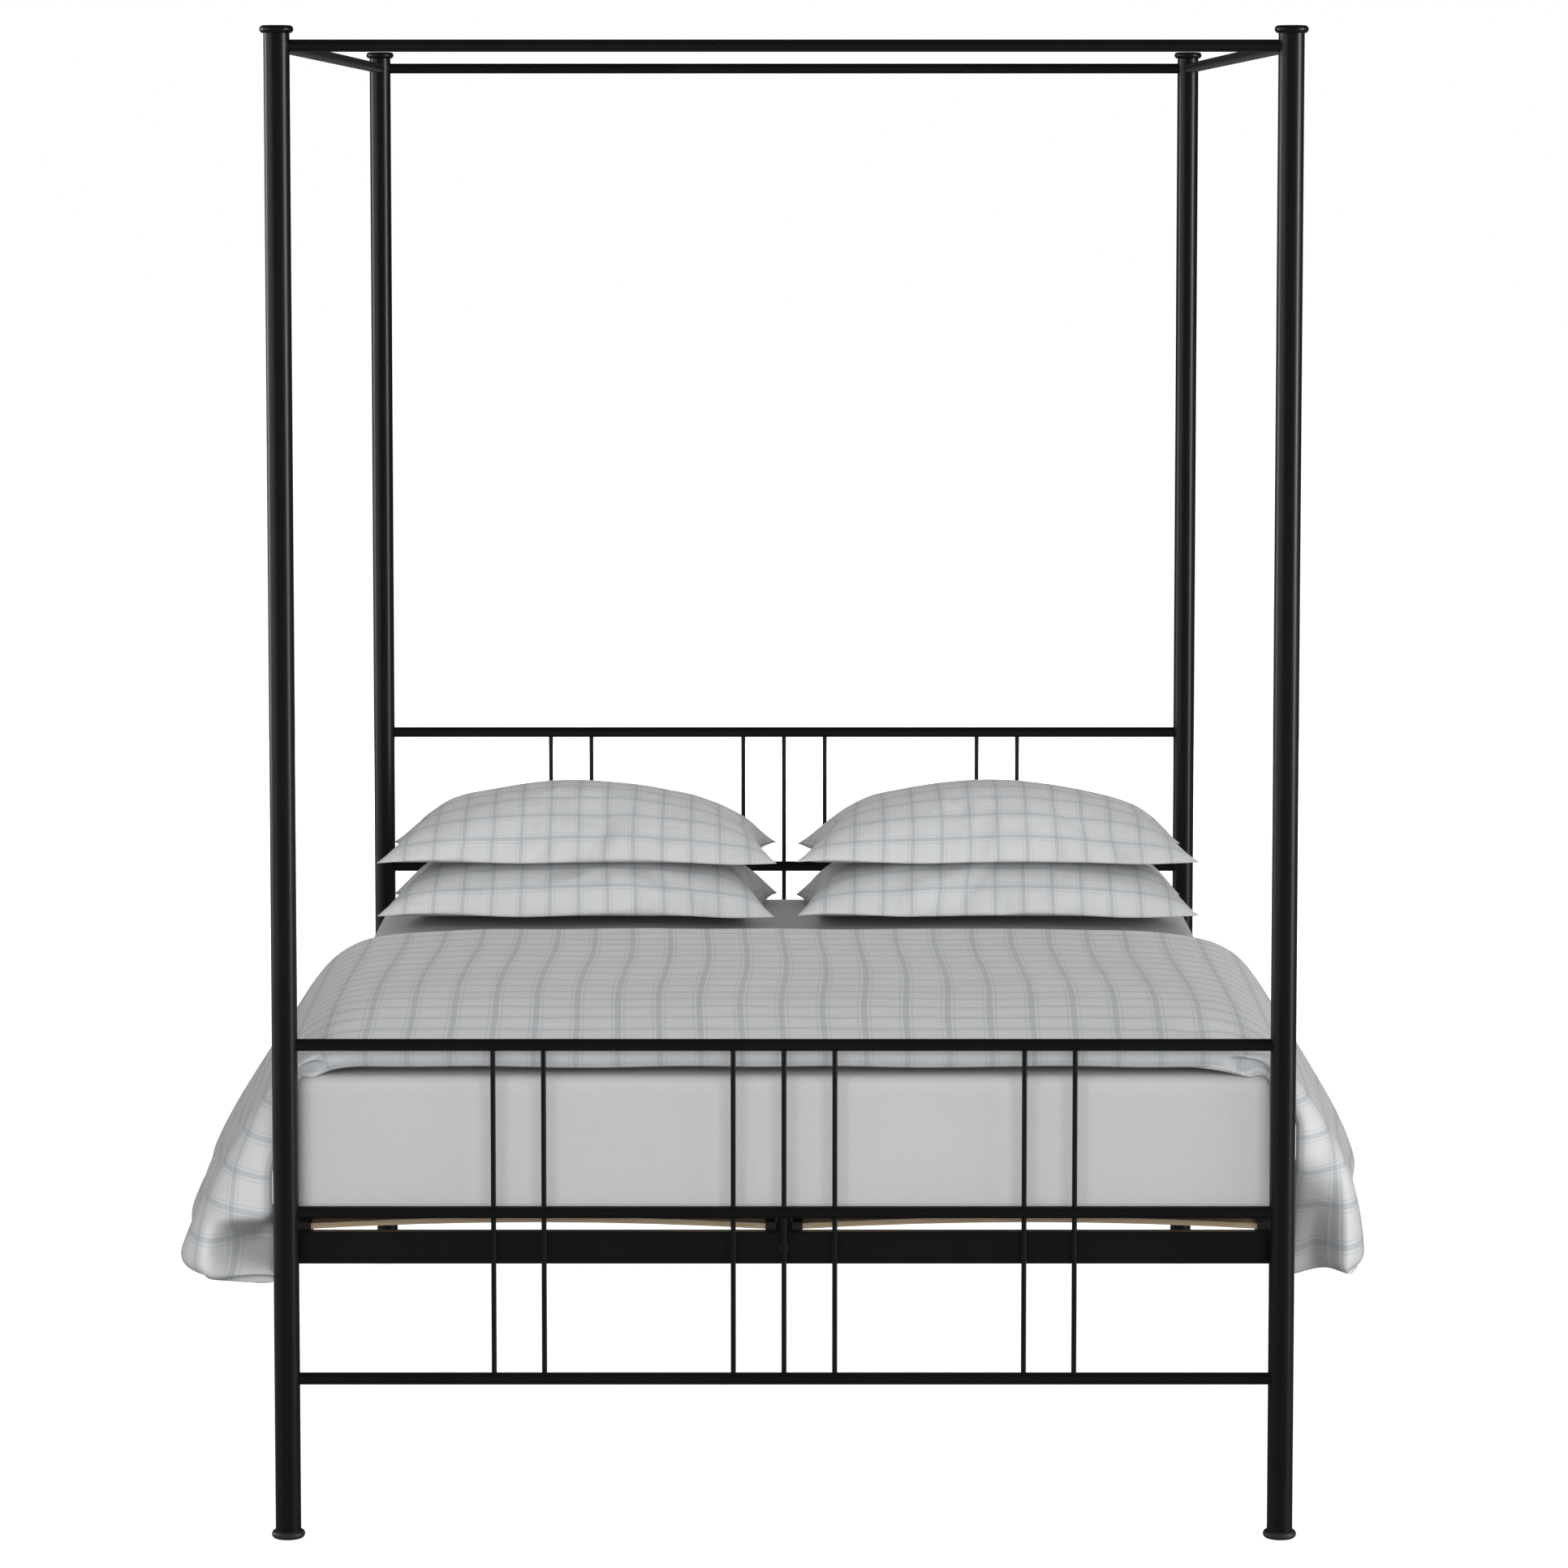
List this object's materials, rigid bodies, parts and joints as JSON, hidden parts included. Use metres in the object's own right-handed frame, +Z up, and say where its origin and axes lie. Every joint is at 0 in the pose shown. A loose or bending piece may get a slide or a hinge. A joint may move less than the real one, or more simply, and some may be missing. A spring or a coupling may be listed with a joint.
{
  "type": "four poster canopy bed",
  "caption": "Canopy bed in slim round steel tube, with spindle footboard and headboard, sprung slats, mattress, checked duvet and stacked pillows.",
  "frame": {"origin": "on the floor at the middle of the bed's width and length", "axes": "+Z up, +Y towards the head end, +X towards the right side seen from the foot end"},
  "size_m": [1.9292, 2.162, 2.351],
  "materials": {
    "frame_black": "satin powder coat",
    "black_hardware": "black zinc",
    "black_plastic": "moulded, fine texture",
    "slat_plywood": "sanded birch plywood",
    "mattress_ticking": "woven ticking",
    "sheet_cotton": "plain cotton",
    "duvet_check": "brushed cotton with a woven check",
    "pillow_check": "brushed cotton with a woven check"
  },
  "bodies": {
    "bed_frame": {"angle_brackets": "frame_black", "bottom_cap_foot_left": "frame_black", "bottom_cap_foot_right": "frame_black", "bottom_cap_head_left": "frame_black", "bottom_cap_head_right": "frame_black", "bracket_bolts": "black_hardware", "canopy_rail_foot": "frame_black", "canopy_rail_head": "frame_black", "canopy_rail_left": "frame_black", "canopy_rail_right": "frame_black", "canopy_studs": "black_hardware", "centre_rail": "frame_black", "centre_rail_bolts": "black_hardware", "end_rail_foot": "frame_black", "end_rail_head": "frame_black", "footboard_bottom_rail": "frame_black", "footboard_middle_rail": "frame_black", "footboard_spindle_1": "frame_black", "footboard_spindle_2": "frame_black", "footboard_spindle_3": "frame_black", "footboard_spindle_4": "frame_black", "footboard_spindle_5": "frame_black", "footboard_spindle_6": "frame_black", "footboard_spindle_7": "frame_black", "footboard_top_rail": "frame_black", "headboard_bottom_rail": "frame_black", "headboard_lower_middle_rail": "frame_black", "headboard_spindle_1": "frame_black", "headboard_spindle_2": "frame_black", "headboard_spindle_3": "frame_black", "headboard_spindle_4": "frame_black", "headboard_spindle_5": "frame_black", "headboard_spindle_6": "frame_black", "headboard_spindle_7": "frame_black", "headboard_top_rail": "frame_black", "headboard_upper_middle_rail": "frame_black", "post_foot_left": "frame_black", "post_foot_right": "frame_black", "post_head_left": "frame_black", "post_head_right": "frame_black", "rail_tongues": "frame_black", "side_rail_bolts": "black_hardware", "side_rail_left": "frame_black", "side_rail_right": "frame_black", "slat_holders_centre": "black_plastic", "slat_holders_left": "black_plastic", "slat_holders_right": "black_plastic", "slats_left": "slat_plywood", "slats_right": "slat_plywood", "top_cap_foot_left": "frame_black", "top_cap_foot_right": "frame_black", "top_cap_head_left": "frame_black", "top_cap_head_right": "frame_black"},
    "mattress": {"mattress": "mattress_ticking", "fitted_sheet": "sheet_cotton"},
    "duvet": {"duvet": "duvet_check"},
    "pillow_lower_left": {"pillow_lower_left": "pillow_check"},
    "pillow_lower_right": {"pillow_lower_right": "pillow_check"},
    "pillow_upper_left": {"pillow_upper_left": "pillow_check"},
    "pillow_upper_right": {"pillow_upper_right": "pillow_check"}
  },
  "joints": [
    {"name": "mattress_lift", "type": "slide", "parent": "bed_frame", "child": "mattress", "axis": [0, 0, 1], "range_m": [0, 0.3]},
    {"name": "duvet_lift", "type": "slide", "parent": "mattress", "child": "duvet", "axis": [0, 0, 1], "range_m": [0, 0.4]},
    {"name": "pillow_lower_left_lift", "type": "slide", "parent": "mattress", "child": "pillow_lower_left", "axis": [0, 0, 1], "range_m": [0, 0.2]},
    {"name": "pillow_upper_left_lift", "type": "slide", "parent": "pillow_lower_left", "child": "pillow_upper_left", "axis": [0, 0, 1], "range_m": [0, 0.2]},
    {"name": "pillow_lower_right_lift", "type": "slide", "parent": "mattress", "child": "pillow_lower_right", "axis": [0, 0, 1], "range_m": [0, 0.2]},
    {"name": "pillow_upper_right_lift", "type": "slide", "parent": "pillow_lower_right", "child": "pillow_upper_right", "axis": [0, 0, 1], "range_m": [0, 0.2]}
  ]
}
